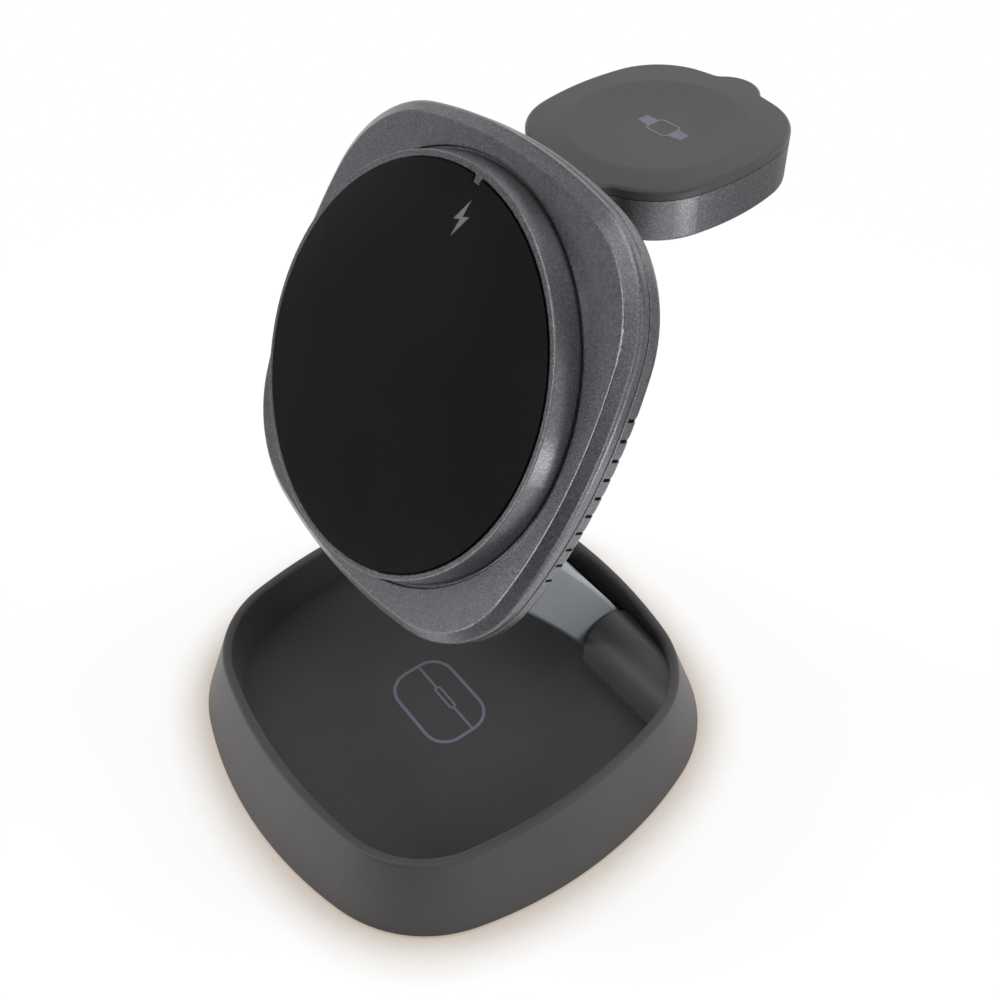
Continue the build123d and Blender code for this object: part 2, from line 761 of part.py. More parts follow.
def tab_webs(tab_y):
    """Hollow corners where the finger tab runs into the far side of the module."""
    side_y = watch_reach + watch_half - watch_side_radius
    side_reach = watch_side_radius + tab_fillet
    tab_reach = tab_radius + tab_fillet
    span = tab_y - side_y
    rise = (side_reach**2 - tab_reach**2 + span**2) / (2 * span)
    middle = (sqrt(side_reach**2 - rise**2), side_y + rise)
    on_side = (middle[0] * watch_side_radius / side_reach, side_y + rise * watch_side_radius / side_reach)
    on_tab = (middle[0] * tab_radius / tab_reach, tab_y + (middle[1] - tab_y) * tab_radius / tab_reach)
    return hollow_web(on_tab, middle, on_side, (0, watch_reach), tab_fillet)


def watch_plan():
    """Module outline with its neck towards the hinge and a finger tab on the far side."""
    neck = Pos(0, watch_reach / 2) * Rectangle(2 * watch_fork_half, watch_reach)
    tab_y = watch_reach + watch_half + tab_stand_out - tab_radius
    tab = Pos(0, tab_y) * Circle(tab_radius)
    return watch_outline() + neck + tab + neck_webs() + tab_webs(tab_y)


def lug_slot():
    """Room in the neck for the lug on the pad."""
    return slab(-fork_slot_half, fork_slot_half, -2 * watch_end_radius, watch_end_radius + watch_hinge_gap,
                -watch_half, watch_half)


def watch_top_cover():
    lid = prism(watch_plan(), lid_foot, watch_top)
    lid = fillet(lid.faces().sort_by(Axis.Z)[-1].edges(), watch_round)
    dish_sphere = (dish_radius**2 + dish_depth**2) / (2 * dish_depth)
    dish = Pos(0, watch_reach, watch_top - dish_depth + dish_sphere) * Sphere(dish_sphere)
    lid = lid - dish - lug_slot()
    for x, y in watch_screw_spots:
        lid = lid + post(watch_boss_radius, 0, lid_foot, x, y)
    for place in watch_screw_places:
        lid = lid - place * screw(watch_screw_length, screw_clearance)
    return lid


def watch_lower_shell():
    body = prism(watch_plan(), shell_foot, shell_top)
    body = fillet(body.faces().sort_by(Axis.Z)[0].edges(), watch_round)
    room = prism(watch_outline(watch_wall), shell_floor, shell_top)
    for x, y in watch_screw_spots:
        room = room - post(watch_boss_radius, shell_floor, 0, x, y)
    inset = watch_board_size / 2 - standoff_radius
    for x, y in four(inset, inset):
        room = room - post(standoff_radius, shell_floor, shell_floor + board_thickness, x, watch_reach + y)
    eye = side_rod(watch_end_radius, -watch_fork_half, watch_fork_half)
    eye = eye - slab(-watch_half, watch_half, -seam, watch_half, shell_top, watch_half)
    body = body - room + eye - lug_slot()
    body = body - side_rod(watch_pin_radius + pin_clearance, -watch_half, watch_half)
    for place in watch_screw_places:
        body = body - place * screw(watch_screw_length, screw_clearance)
    return body


def watch_coil():
    low = lid_foot - watch_coil_thickness
    return Pos(0, watch_reach) * ring(watch_coil_outer, watch_coil_inner, low, lid_foot)


def watch_magnet():
    return post(watch_magnet_radius, lid_foot - watch_coil_thickness, lid_foot, 0, watch_reach)


def watch_ferrite():
    high = lid_foot - watch_coil_thickness
    return post(watch_ferrite_outer, high - ferrite_thick, high, 0, watch_reach)


def watch_board():
    low = shell_floor + board_thickness
    half = watch_board_size / 2
    board = slab(-half, half, watch_reach - half, watch_reach + half, low, low + board_thickness)
    chip = watch_chip / 2
    return board + slab(-chip, chip, watch_reach - chip, watch_reach + chip, low, low + watch_chip_top)


# Pins and friction washers

def washers(pin_radius, washer_radius, inner_x, y=0.0, z=0.0):
    """Pair of washers, one on each side of the middle eye of a hinge."""
    pair = []
    for x in (inner_x + washer_play, -inner_x - washer_play - washer_thickness):
        disc = side_rod(washer_radius, x, x + washer_thickness, y, z)
        pair.append(disc - side_rod(pin_radius + pin_clearance, x, x + washer_thickness, y, z))
    return pair


def place_all(frame, solids):
    return [frame.location * solid for solid in solids]


def spread(places, solid):
    return [place * solid for place in places]


base_pin_half = pin_half - washer_play
watch_pin_half = watch_fork_half - pin_recess
pad_pin_half = arm_half + side_gap + ear_thickness - pin_recess
arm_washer = arm_end_radius - washer_rim
watch_washer = watch_end_radius - washer_rim

base_nodes = {
    "base_tray": [base_tray()],
    "base_bottom_plate": [base_bottom_plate()],
    "base_foot_pad": [base_foot_pad()],
    "base_screws": spread(base_screw_places, cross_recess_screw(base_screw_length)),
    "earbuds_coil": [earbuds_coil()],
    "earbuds_ferrite": [earbuds_ferrite()],
    "inlet_board": [inlet_board()],
    "usb_c_socket": [usb_c_socket()],
    "usb_c_tongue": [usb_c_tongue()],
    "base_hinge_pin": [side_rod(arm_pin_radius, -base_pin_half, base_pin_half, hinge_y, hinge_z)],
    "base_hinge_keeper": [base_hinge_keeper()],
    "base_keeper_screws": spread(keeper_screw_places, cross_recess_screw(keeper_screw_length)),
    "base_hinge_washers": washers(arm_pin_radius, arm_washer, arm_half, hinge_y, hinge_z),
}
arm_nodes = {
    "arm_shell": [arm_shell()],
    "arm_back_cover": [arm_back_cover()],
    "arm_screws": spread(arm_screw_places(), cross_recess_screw(arm_screw_length)),
    "arm_flat_cable": [arm_flat_cable()],
}
pad_nodes = {
    "pad_front_frame": [pad_front_frame()],
    "pad_disc": [pad_disc()],
    "pad_carrier": [pad_carrier()],
    "pad_magnets": pad_magnets(),
    "pad_ferrite": [pad_ferrite()],
    "pad_coil": [pad_coil()],
    "pad_board": [pad_board()],
    "pad_rear_cover": [pad_rear_cover()],
    "pad_screws": spread(pad_screw_places, cross_recess_screw(pad_screw_length)),
    "pad_hinge_pin": [side_rod(arm_pin_radius, -pad_pin_half, pad_pin_half, -pad_hinge_down,
                               pad_hinge_level)],
    "pad_hinge_washers": washers(arm_pin_radius, arm_washer, arm_half, -pad_hinge_down, pad_hinge_level),
    "watch_hinge_washers": washers(watch_pin_radius, watch_washer, watch_lug_half, watch_hinge_up,
                                   watch_hinge_level),
}
watch_nodes = {
    "watch_top_cover": [watch_top_cover()],
    "watch_lower_shell": [watch_lower_shell()],
    "watch_coil": [watch_coil()],
    "watch_magnet": [watch_magnet()],
    "watch_ferrite": [watch_ferrite()],
    "watch_board": [watch_board()],
    "watch_screws": spread(watch_screw_places, cross_recess_screw(watch_screw_length)),
    "watch_hinge_pin": [side_rod(watch_pin_radius, -watch_pin_half, watch_pin_half)],
}

nodes = dict(base_nodes)
for frame, group in ((arm_frame, arm_nodes), (pad_frame, pad_nodes), (watch_frame, watch_nodes)):
    for name, solids in group.items():
        nodes[name] = place_all(frame, solids)

os.makedirs("parts", exist_ok=True)
for name, solids in nodes.items():
    pieces = [piece for solid in solids for piece in solid.solids()]
    export_step(pieces[0] if len(pieces) == 1 else Compound(children=pieces), f"parts/{name}.step")
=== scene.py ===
import math

import bmesh
import bpy
from mathutils import Matrix, Vector


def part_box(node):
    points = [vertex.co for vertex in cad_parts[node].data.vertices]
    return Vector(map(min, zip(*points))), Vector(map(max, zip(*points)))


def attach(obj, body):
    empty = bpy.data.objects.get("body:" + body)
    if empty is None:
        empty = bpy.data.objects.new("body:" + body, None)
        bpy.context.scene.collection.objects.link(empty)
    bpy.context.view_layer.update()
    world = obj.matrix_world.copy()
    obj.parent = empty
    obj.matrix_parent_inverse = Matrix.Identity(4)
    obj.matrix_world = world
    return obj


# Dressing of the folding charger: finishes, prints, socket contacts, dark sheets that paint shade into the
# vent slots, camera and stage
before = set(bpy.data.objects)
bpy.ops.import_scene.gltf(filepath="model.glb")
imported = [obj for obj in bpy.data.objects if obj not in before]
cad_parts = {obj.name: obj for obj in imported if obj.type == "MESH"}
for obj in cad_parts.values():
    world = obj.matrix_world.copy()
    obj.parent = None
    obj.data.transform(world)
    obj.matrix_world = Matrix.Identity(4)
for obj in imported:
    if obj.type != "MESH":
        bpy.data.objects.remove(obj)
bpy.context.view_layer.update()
scene = bpy.context.scene
scene.view_settings.view_transform = "Standard"

mm = 0.001

# Where the pad's and the watch module's own frames stand, in millimetres and degrees
pad_at = (0, -7.0198, 85.9681)
pad_tilt = 60
watch_at = (0, 19.5108, 102.5204)
watch_tilt = 3.4

# Sizes in millimetres, and a count, of the imported model that the prints, coil finishes and vent shade
# sheets follow
tray_floor = 3.5
buds_coil_y = -4.0
lid_top = 4.4
dish_depth = 0.3
dish_radius = 13.3
dish_y = 22.0
cover_half = 35.45
cover_side_radius = 86.0
vent_count = 10
vent_pitch = 2.74
vent_width = 0.5
vent_top = -7.5
vent_foot = -8.9

# Sizes in millimetres, and a count, of the added pieces
ink_height = 0.05
shade_sheet_depth = 0.9
shade_sheet_set_back = 0.1
contact_count = 12
contact_pitch = 0.5
contact_size = (0.25, 2.6, 0.06)
contact_set_in = 1.5

# Camera, table and cards, in metres
camera_place = Vector((0.102912, -0.067095, 0.177154))
camera_aim = Vector((-0.015960, 0.024685, 0.027888))
stage_middle = Vector((0, 0, 0.05))
table_half = 6.0
shadow_room = 0.08
painted_shadow_reach = 0.01
card_distance = 0.36
card_height = 0.6
card_lift = 0.001
overhead_height = 0.6
card_half = 0.5

# Flake finish: flakes in a metre, and how far the shade painted into its crevices reaches, in metres
flakes_per_metre = 7000.0
painted_shade_reach = 0.0014

# Samples of the nodes that paint shade into crevices and a contact shadow onto the table round the foot
shade_samples = 8


def own_frame(at, tilt):
    """Place of a frame that is tilted about X."""
    return Matrix.Translation([length * mm for length in at]) @ Matrix.Rotation(math.radians(tilt), 4, "X")


pad_place = own_frame(pad_at, pad_tilt)
watch_place = own_frame(watch_at, watch_tilt)


# Shader nodes

def set_inputs(node, inputs):
    """Sets a node's inputs by their names, with an underscore for each space."""
    for name, value in inputs.items():
        node.inputs[name.replace("_", " ")].default_value = value
    return node


def add(tree, kind, **inputs):
    """New node with the named inputs set."""
    return set_inputs(tree.nodes.new(kind), inputs)


def bare_tree(holder):
    """Empty node tree of a new material or world."""
    holder.use_nodes = True
    holder.node_tree.nodes.clear()
    return holder.node_tree


def own_place(tree):
    """The object's own coordinates."""
    return tree.nodes.new("ShaderNodeTexCoord").outputs["Object"]


def grain(tree, scale, detail=2.0):
    """Noise on the object's own coordinates; scale counts features in a metre."""
    noise = add(tree, "ShaderNodeTexNoise", Scale=scale, Detail=detail)
    tree.links.new(own_place(tree), noise.inputs["Vector"])
    return noise.outputs["Fac"]


def spread(tree, value, low, high, at_low=0.3, at_high=0.7):
    """Ramp from one colour or grey to another."""
    ramp = tree.nodes.new("ShaderNodeValToRGB")
    ramp.color_ramp.elements[0].position = at_low
    ramp.color_ramp.elements[0].color = (*low, 1) if isinstance(low, tuple) else (low, low, low, 1)
    ramp.color_ramp.elements[1].position = at_high
    ramp.color_ramp.elements[1].color = (*high, 1) if isinstance(high, tuple) else (high, high, high, 1)
    tree.links.new(value, ramp.inputs["Fac"])
    return ramp.outputs["Color"]


def relief(tree, shader, value, strength, depth):
    """Bump on a shader, its depth in metres."""
    bump = add(tree, "ShaderNodeBump", Strength=strength, Distance=depth)
    tree.links.new(value, bump.inputs["Height"])
    tree.links.new(bump.outputs["Normal"], shader.inputs["Normal"])


def mix_shaders(tree, factor, first, second):
    """Shader that goes from the first to the second as the factor goes from zero to one."""
    mix = tree.nodes.new("ShaderNodeMixShader")
    tree.links.new(factor, mix.inputs["Fac"])
    tree.links.new(first.outputs[0], mix.inputs[1])
    tree.links.new(second.outputs[0], mix.inputs[2])
    return mix


def seen_directly(tree):
    """One for a ray from the camera, a reflection or a clear part, and zero for light that bounces."""
    path = tree.nodes.new("ShaderNodeLightPath")
    total = path.outputs["Is Camera Ray"]
    for name in ("Is Glossy Ray", "Is Transmission Ray"):
        larger = tree.nodes.new("ShaderNodeMath")
        larger.operation = "MAXIMUM"
        tree.links.new(total, larger.inputs[0])
        tree.links.new(path.outputs[name], larger.inputs[1])
        total = larger.outputs["Value"]
    return total


# Camera and stage

def photo_camera():
    data = bpy.data.cameras.new("photo_camera")
    data.sensor_fit = "HORIZONTAL"
    data.sensor_width = 36.0
    data.lens = 37.79
    data.clip_start = 0.01
    data.clip_end = 50.0
    camera = bpy.data.objects.new("photo_camera", data)
    camera.location = camera_place
    camera.rotation_mode = "QUATERNION"
    camera.rotation_quaternion = (camera_aim - camera_place).to_track_quat("-Z", "Y")
    scene.collection.objects.link(camera)
    scene.camera = camera


def softbox(name, place, size, watts, reflected=True):
    """Square studio lamp aimed at the middle of the charger; a card may stand for it in reflections."""
    data = bpy.data.lights.new(name, "AREA")
    data.size = size
    data.energy = watts
    lamp = bpy.data.objects.new(name, data)
    lamp.location = place
    lamp.visible_glossy = reflected
    lamp.rotation_mode = "QUATERNION"
    lamp.rotation_quaternion = (stage_middle - lamp.location).to_track_quat("-Z", "Y")
    scene.collection.objects.link(lamp)


def studio_world():
    world = bpy.data.worlds.new("studio")
    tree = bare_tree(world)
    ambient = add(tree, "ShaderNodeBackground", Color=(1.0, 0.99, 0.98, 1), Strength=0.3)
    white = add(tree, "ShaderNodeBackground", Color=(1, 1, 1, 1), Strength=1.0)
    mix = mix_shaders(tree, seen_directly(tree), ambient, white)
    out = tree.nodes.new("ShaderNodeOutputWorld")
    tree.links.new(mix.outputs["Shader"], out.inputs["Surface"])
    scene.world = world


def stage_sheet(name, half, place, material):
    """Flat square of the stage, with its place in its mesh."""
    mesh = bpy.data.meshes.new(name)
    bm = bmesh.new()
    bmesh.ops.create_grid(bm, x_segments=1, y_segments=1, size=half)
    bmesh.ops.transform(bm, matrix=place, verts=bm.verts[:])
    bm.to_mesh(mesh)
    bm.free()
    mesh.materials.append(material)
    sheet = bpy.data.objects.new(name, mesh)
    scene.collection.objects.link(sheet)
    return sheet


def white_floor():
    """White table with a beige contact shadow painted round the foot from ambient occlusion, over a faint
    lit layer that takes the lamps' shade, and pure white further off.
    """
    material = bpy.data.materials.new("white_table")
    tree = bare_tree(material)
    plain = add(tree, "ShaderNodeBsdfDiffuse", Color=(0.8, 0.79, 0.78, 1))
    lit = add(tree, "ShaderNodeBsdfDiffuse", Color=(0.2, 0.22, 0.24, 1))
    glow = add(tree, "ShaderNodeEmission", Strength=1.0)
    # Ambient occlusion paints a beige shadow into the table's glow round the foot
    open_sky = add(tree, "ShaderNodeAmbientOcclusion", Distance=painted_shadow_reach)
    open_sky.samples = shade_samples
    painted_contact_shadow = spread(tree, open_sky.outputs["AO"], (0.42, 0.34, 0.26), (0.84, 0.82, 0.8), 0.7, 0.98)
    tree.links.new(painted_contact_shadow, glow.inputs["Color"])
    near = tree.nodes.new("ShaderNodeAddShader")
    tree.links.new(lit.outputs["BSDF"], near.inputs[0])
    tree.links.new(glow.outputs["Emission"], near.inputs[1])
    away = tree.nodes.new("ShaderNodeVectorMath")
    away.operation = "LENGTH"
    tree.links.new(own_place(tree), away.inputs[0])
    fade = tree.nodes.new("ShaderNodeMapRange")
    fade.interpolation_type = "SMOOTHSTEP"
    fade.inputs["From Min"].default_value = shadow_room
    fade.inputs["From Max"].default_value = 3 * shadow_room
    tree.links.new(away.outputs["Value"], fade.inputs["Value"])
    white = add(tree, "ShaderNodeEmission", Color=(1, 1, 1, 1), Strength=1.0)
    seen = mix_shaders(tree, fade.outputs["Result"], near, white)
    mix = mix_shaders(tree, seen_directly(tree), plain, seen)
    out = tree.nodes.new("ShaderNodeOutputMaterial")
    tree.links.new(mix.outputs["Shader"], out.inputs["Surface"])
    stage_sheet("white_table", table_half, Matrix.Identity(4), material)


def upright(turn, width):
    """Place of a card standing on a ring round the charger; turn counts degrees from -Y towards -X."""
    stand_up = Matrix.Rotation(math.radians(90), 4, "X") @ Matrix.Diagonal((width, card_height, 1, 1))
    out = Matrix.Translation((0, -card_distance, card_height / 2 + card_lift)) @ stand_up
    return Matrix.Rotation(math.radians(-turn), 4, "Z") @ out


def lying(x, y, width, depth, height=card_lift):
    """Place of a level card, on the table or hung above it."""
    return Matrix.Translation((x, y, height)) @ Matrix.Diagonal((width, depth, 1, 1))


def studio_card(name, shade, place):
    """Plain card that only reflections see; its place stretches a square of one metre to its size."""
    material = bpy.data.materials.new(name)
    tree = bare_tree(material)
    card = add(tree, "ShaderNodeEmission", Color=(shade, shade, 1.02 * shade, 1), Strength=1.0)
    out = tree.nodes.new("ShaderNodeOutputMaterial")
    tree.links.new(card.outputs["Emission"], out.inputs["Surface"])
    made = stage_sheet(name, card_half, place, material)
    made.visible_camera = False
    made.visible_diffuse = False
    made.visible_shadow = False
    made.visible_transmission = False


# Finishes

def principled(name, **inputs):
    """Material with one shader, its even values set on the shader itself."""
    material = bpy.data.materials.new(name)
    material.use_nodes = True
    tree = material.node_tree
    shader = set_inputs(tree.nodes["Principled BSDF"], inputs)
    return material, tree, shader


def satin_plastic(name, low, high, rough, texture, depth, specular):
    """Moulded plastic with a slightly cloudy colour and a fine spark-eroded texture."""
    material, tree, shader = principled(name, Specular_IOR_Level=specular)
    cloud = grain(tree, 90.0, 3.0)
    tree.links.new(spread(tree, cloud, low, high), shader.inputs["Base Color"])
    fine = grain(tree, texture, 1.0)
    tree.links.new(spread(tree, fine, rough - 0.05, rough + 0.05), shader.inputs["Roughness"])
    relief(tree, shader, fine, 0.25, depth)
    return material


def flake_plastic(name, low, high, spark):
    """Dark satin plastic with fine metal flakes, and shade painted darker into its crevices."""
    material, tree, shader = principled(name, Specular_IOR_Level=0.5, Metallic=0.8)
    cells = add(tree, "ShaderNodeTexVoronoi", Scale=flakes_per_metre)
    tree.links.new(own_place(tree), cells.inputs["Vector"])
    glint = tree.nodes.new("ShaderNodeSeparateColor")
    tree.links.new(cells.outputs["Color"], glint.inputs["Color"])
    cloud = spread(tree, grain(tree, 120.0, 3.0), low, high)
    flakes = spread(tree, glint.outputs["Red"], 0.0, 1.0, 0.5, 1.0)
    mix = tree.nodes.new("ShaderNodeMix")
    mix.data_type = "RGBA"
    mix.inputs["B"].default_value = (*spark, 1)
    tree.links.new(flakes, mix.inputs["Factor"])
    tree.links.new(cloud, mix.inputs["A"])
    # Ambient occlusion paints shade into the base colour, so crevices turn near black
    painted_crevice_shade = add(tree, "ShaderNodeAmbientOcclusion", Distance=painted_shade_reach)
    painted_crevice_shade.samples = shade_samples
    painted_shade_mix = tree.nodes.new("ShaderNodeMix")
    painted_shade_mix.data_type = "RGBA"
    painted_shade_mix.inputs["A"].default_value = (0.03, 0.03, 0.032, 1)
    tree.links.new(spread(tree, painted_crevice_shade.outputs["AO"], 0.0, 1.0, 0.15, 0.5), painted_shade_mix.inputs["Factor"])
    tree.links.new(mix.outputs["Result"], painted_shade_mix.inputs["B"])
    tree.links.new(painted_shade_mix.outputs["Result"], shader.inputs["Base Color"])
    rough = spread(tree, glint.outputs["Green"], 0.26, 0.34, 0.0, 1.0)
    tree.links.new(rough, shader.inputs["Roughness"])
    relief(tree, shader, grain(tree, 5000.0, 1.0), 0.2, 0.000006)
    return material


def wound_copper(name, place):
    """Flat coil: rings of enamelled wire round the coil's own axis."""
    material, tree, shader = principled(name, Metallic=0.9, Roughness=0.32)
    mapping = tree.nodes.new("ShaderNodeMapping")
    mapping.vector_type = "TEXTURE"
    mapping.inputs["Location"].default_value = place.to_translation()
    mapping.inputs["Rotation"].default_value = place.to_euler()
    tree.links.new(own_place(tree), mapping.inputs["Vector"])
    turns = add(tree, "ShaderNodeTexWave", Scale=260.0, Distortion=0.2)
    turns.wave_type = "RINGS"
    turns.rings_direction = "Z"
    tree.links.new(mapping.outputs["Vector"], turns.inputs["Vector"])
    tone = spread(tree, turns.outputs["Fac"], (0.3, 0.11, 0.05), (0.72, 0.34, 0.18), 0.1, 0.8)
    tree.links.new(tone, shader.inputs["Base Color"])
    relief(tree, shader, turns.outputs["Fac"], 0.6, 0.0001)
    return material


def plated_metal(name, low, high, rough):
    """Plated metal with fine drawn streaks."""
    material, tree, shader = principled(name, Metallic=1.0)
    streak = grain(tree, 1400.0, 4.0)
    tree.links.new(spread(tree, streak, low, high), shader.inputs["Base Color"])
    tree.links.new(spread(tree, streak, rough - 0.07, rough + 0.07), shader.inputs["Roughness"])
    relief(tree, shader, streak, 0.1, 0.00002)
    return material


def black_disc(name):
    """Black lacquered face: even gloss, with faint smears in it."""
    material, tree, shader = principled(name, Specular_IOR_Level=0.3)
    smear = grain(tree, 45.0, 4.0)
    tone = spread(tree, smear, (0.0065, 0.006, 0.0056), (0.009, 0.0082, 0.0078))
    tree.links.new(tone, shader.inputs["Base Color"])
    tree.links.new(spread(tree, smear, 0.14, 0.2), shader.inputs["Roughness"])
    relief(tree, shader, grain(tree, 300.0, 2.0), 0.02, 0.00002)
    return material


def circuit_laminate(name):
    """Green solder mask with paler tracks showing through."""
    material, tree, shader = principled(name, Roughness=0.38)
    tracks = add(tree, "ShaderNodeTexBrick", Scale=420.0, Mortar_Size=0.04)
    tracks.inputs["Color1"].default_value = (0.02, 0.12, 0.05, 1)
    tracks.inputs["Color2"].default_value = (0.024, 0.14, 0.06, 1)
    tracks.inputs["Mortar"].default_value = (0.06, 0.26, 0.12, 1)
    tree.links.new(own_place(tree), tracks.inputs["Vector"])
    tree.links.new(tracks.outputs["Color"], shader.inputs["Base Color"])
    relief(tree, shader, tracks.outputs["Fac"], 0.2, 0.00003)
    return material


buds_coil_place = Matrix.Translation((0, buds_coil_y * mm, 0))
watch_coil_place = watch_place @ Matrix.Translation((0, dish_y * mm, 0))
tray_satin = satin_plastic("tray_satin", (0.062, 0.058, 0.059), (0.07, 0.066, 0.067),
                           0.46, 3000.0, 0.00002, 0.4)
arm_satin = satin_plastic("arm_satin", (0.242, 0.265, 0.29), (0.27, 0.293, 0.319),
                          0.4, 3000.0, 0.00002, 0.5)
lid_matt = satin_plastic("lid_matt", (0.07, 0.064, 0.067), (0.077, 0.071, 0.074),
                         0.38, 3400.0, 0.00001, 0.4)
inner_black = satin_plastic("inner_black", (0.022, 0.022, 0.024), (0.034, 0.034, 0.036),
                            0.5, 2500.0, 0.00003, 0.4)
foot_silicone = satin_plastic("foot_silicone", (0.022, 0.022, 0.022), (0.03, 0.03, 0.03),
                              0.75, 1500.0, 0.00004, 0.3)
ferrite_grey = satin_plastic("ferrite_grey", (0.04, 0.04, 0.044), (0.062, 0.062, 0.066),
                             0.55, 1800.0, 0.00004, 0.4)
pad_flake = flake_plastic("pad_flake", (0.15, 0.145, 0.156), (0.172, 0.166, 0.179), (0.27, 0.27, 0.288))
disc_black = black_disc("disc_black")
zinc_steel = plated_metal("zinc_steel", (0.46, 0.46, 0.47), (0.6, 0.6, 0.61), 0.34)
nickel = plated_metal("nickel", (0.6, 0.58, 0.54), (0.72, 0.7, 0.66), 0.2)
gold_contact = plated_metal("gold_contact", (0.7, 0.5, 0.2), (0.82, 0.6, 0.26), 0.25)
laminate = circuit_laminate("laminate")
buds_copper = wound_copper("buds_copper", buds_coil_place)
pad_copper = wound_copper("pad_copper", pad_place)
watch_copper = wound_copper("watch_copper", watch_coil_place)
print_ink = satin_plastic("print_ink", (0.17, 0.175, 0.23), (0.2, 0.205, 0.26),
                          0.5, 2500.0, 0.00001, 0.4)
# Near-black finish of the sheets that stand in for the shade in the vent slots
vent_painted_shade = satin_plastic("vent_painted_shade", (0.005, 0.005, 0.006), (0.009, 0.009, 0.01),
                           0.85, 2500.0, 0.00004, 0.1)
disc_ink = satin_plastic("disc_ink", (0.12, 0.115, 0.118), (0.14, 0.135, 0.138),
                         0.45, 2500.0, 0.00001, 0.4)

node_finishes = {
    tray_satin: ["base_tray"],
    zinc_steel: ["base_bottom_plate", "base_screws", "usb_c_socket", "base_hinge_pin", "base_hinge_keeper",
                 "base_keeper_screws", "base_hinge_washers", "arm_screws", "pad_screws", "pad_hinge_pin",
                 "pad_hinge_washers", "watch_hinge_washers", "watch_screws", "watch_hinge_pin"],
    foot_silicone: ["base_foot_pad"],
    ferrite_grey: ["earbuds_ferrite", "pad_ferrite", "watch_ferrite"],
    buds_copper: ["earbuds_coil"],
    pad_copper: ["pad_coil"],
    watch_copper: ["watch_coil"],
    laminate: ["inlet_board", "pad_board", "watch_board"],
    inner_black: ["usb_c_tongue", "arm_flat_cable", "pad_carrier"],
    arm_satin: ["arm_shell", "arm_back_cover"],
    pad_flake: ["pad_front_frame", "pad_rear_cover", "watch_lower_shell"],
    lid_matt: ["watch_top_cover"],
    disc_black: ["pad_disc"],
    nickel: ["pad_magnets", "watch_magnet"],
}
for finish, names in node_finishes.items():
    for name in names:
        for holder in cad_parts[name].material_slots:
            holder.material = finish


# Printed pictograms, contacts and painted vent shade

def piece(name, bm, place, finish, body):
    """Closes a bmesh into an object with its place in its mesh, riding on a body."""
    bmesh.ops.remove_doubles(bm, verts=bm.verts[:], dist=0.000001)
    bmesh.ops.transform(bm, matrix=place, verts=bm.verts[:])
    bmesh.ops.recalc_face_normals(bm, faces=bm.faces[:])
    mesh = bpy.data.meshes.new(name)
    bm.to_mesh(mesh)
    bm.free()
    mesh.materials.append(finish)
    made = bpy.data.objects.new(name, mesh)
    scene.collection.objects.link(made)
    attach(made, body)


def raise_ink(bm, level):
    """Gives flat faces the thickness of a print, half of it sunk into the surface that carries it."""
    bmesh.ops.translate(bm, vec=(0, 0, (level - ink_height / 2) * mm), verts=bm.verts[:])
    grown = bmesh.ops.extrude_face_region(bm, geom=bm.faces[:])
    moved = [item for item in grown["geom"] if isinstance(item, bmesh.types.BMVert)]
    bmesh.ops.translate(bm, vec=(0, 0, ink_height * mm), verts=moved)


def flat_face(bm, points):
    return bm.faces.new([bm.verts.new((x * mm, y * mm, 0)) for x, y in points])


def rounded_plate(bm, x, y, width, height, corner):
    """Flat rectangle with round corners."""
    corners = [(x - width / 2, y - height / 2), (x + width / 2, y - height / 2),
               (x + width / 2, y + height / 2), (x - width / 2, y + height / 2)]
    face = flat_face(bm, corners)
    cut = bmesh.ops.bevel(bm, geom=face.verts[:], offset=corner * mm, segments=8, profile=0.5,
                          affect="VERTICES", material=-1)
    return cut["verts"][0].link_faces[0]


def rounded_line(bm, x, y, width, height, corner, stroke):
    """Line of even width round a rounded rectangle."""
    face = rounded_plate(bm, x, y, width, height, corner)
    bmesh.ops.inset_region(bm, faces=[face], thickness=stroke * mm, use_boundary=True, use_even_offset=True)
    bmesh.ops.delete(bm, geom=[face], context="FACES")


def case_pictogram():
    """Earbud case: rounded outline, lid line and latch."""
    bm = bmesh.new()
    rounded_line(bm, 1.6, -4.05, 19.2, 13.4, 4.9, 0.65)
    flat_face(bm, [(-7.5, -2.9), (-1.2, -2.9), (-1.2, -2.4), (-7.5, -2.4)])
    flat_face(bm, [(4.6, -2.9), (10.7, -2.9), (10.7, -2.4), (4.6, -2.4)])
    rounded_line(bm, 1.7, -2.65, 6.0, 1.5, 0.6, 0.4)
    raise_ink(bm, tray_floor)
    piece("case_pictogram", bm, Matrix.Identity(4), print_ink, "base")


def bolt_pictogram():
    bm = bmesh.new()
    flat_face(bm, [(2.2, 26.1), (0.3, 22.7), (1.5, 23.15), (1.0, 20.5), (3.0, 24.0), (1.8, 23.55)])
    raise_ink(bm, 0)
    piece("bolt_pictogram", bm, pad_place, disc_ink, "pad")


def watch_pictogram():
    """Watch: outlined case between two short straps."""
    bm = bmesh.new()
    rounded_line(bm, 1.5, 21.95, 4.4, 3.7, 1.0, 0.3)
    flat_face(bm, [(-2.9, 21.1), (-0.5, 20.8), (-0.5, 23.1), (-2.9, 22.9)])
    flat_face(bm, [(3.5, 20.8), (5.9, 21.1), (5.9, 22.9), (3.5, 23.1)])
    raise_ink(bm, lid_top - dish_depth)
    for vert in bm.verts:
        off_centre = Vector((vert.co.x, vert.co.y - dish_y * mm)).length / (dish_radius * mm)
        vert.co.z += dish_depth * mm * off_centre**2
    piece("watch_pictogram", bm, watch_place, print_ink, "watch")


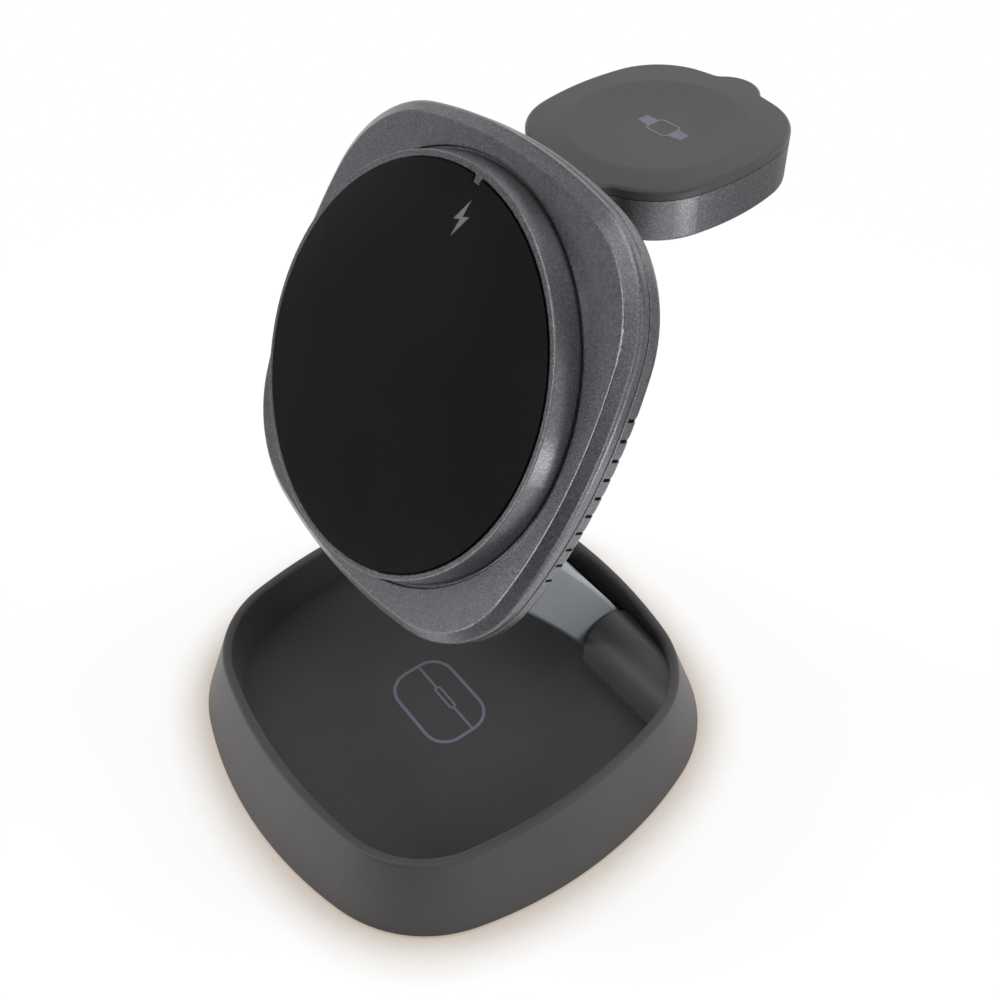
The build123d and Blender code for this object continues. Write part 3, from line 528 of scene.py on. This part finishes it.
def socket_contacts():
    """Gold contact strips on both faces of the inlet's tongue."""
    low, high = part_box("usb_c_tongue")
    bm = bmesh.new()
    middle = (low.z + high.z) / 2
    half = (high.z - low.z) / 2
    for i in range(contact_count):
        x = (i - (contact_count - 1) / 2) * contact_pitch
        for side in (1, -1):
            made = bmesh.ops.create_cube(bm, size=mm)
            bmesh.ops.scale(bm, vec=contact_size, verts=made["verts"])
            place = (x * mm, high.y - contact_set_in * mm, middle + side * half)
            bmesh.ops.translate(bm, vec=place, verts=made["verts"])
    piece("socket_contacts", bm, Matrix.Identity(4), gold_contact, "base")


def vent_shade_sheets():
    """Near-black sheets in the vent slots, just under the surface of the rear cover, standing in for the
    shade in them.
    """
    bm = bmesh.new()
    for i in range(vent_count):
        y = (i - (vent_count - 1) / 2) * vent_pitch
        surface = cover_half - cover_side_radius + math.sqrt(cover_side_radius**2 - y**2)
        x = surface - shade_sheet_set_back - shade_sheet_depth / 2
        for side in (1, -1):
            made = bmesh.ops.create_cube(bm, size=mm)
            bmesh.ops.scale(bm, vec=(shade_sheet_depth, vent_width, vent_top - vent_foot), verts=made["verts"])
            place = (side * x * mm, y * mm, (vent_top + vent_foot) / 2 * mm)
            bmesh.ops.translate(bm, vec=place, verts=made["verts"])
    piece("vent_shade_sheets", bm, pad_place, vent_painted_shade, "pad")


photo_camera()
studio_world()
white_floor()

# Reflected by the pad's face and the black disc
studio_card("grey_card", 0.13, upright(35, 0.32))
studio_card("pale_card", 0.62, upright(76, 0.3))
# Reflected by the pad's bevel and its rounded edges
studio_card("strip_card", 4.0, upright(8, 0.12))
studio_card("black_card", 0.02, upright(-25, 0.26))
studio_card("side_card", 1.5, upright(-58, 0.12))
studio_card("right_card", 0.5, upright(-88, 0.3))
studio_card("back_card", 0.4, upright(-150, 0.3))
studio_card("front_mat", 0.3, lying(0.12, -0.19, 0.2, 0.24))
# Reflected by the cone round the disc and the side of the watch module
studio_card("bounce_card", 4.5, lying(0.28, 0.06, 0.16, 0.1))
studio_card("dark_mat", 0.3, lying(0.05, 0.2, 0.3, 0.2))
# Reflected by the pad's upper bevel and the lid
studio_card("overhead_card", 0.4, lying(-0.35, -0.13, 0.5, 0.5, overhead_height))
studio_card("overhead_back_card", 0.25, lying(-0.4, 0.38, 0.6, 0.5, overhead_height))

softbox("softbox_left", (-0.8, -0.75, 0.3), 0.4, 10.5, reflected=False)
softbox("softbox_right", (0.65, 0.85, 0.4), 0.6, 9.8, reflected=False)
softbox("softbox_top", (-0.1, 0.3, 1.0), 0.9, 2.4)

case_pictogram()
bolt_pictogram()
watch_pictogram()
socket_contacts()
vent_shade_sheets()
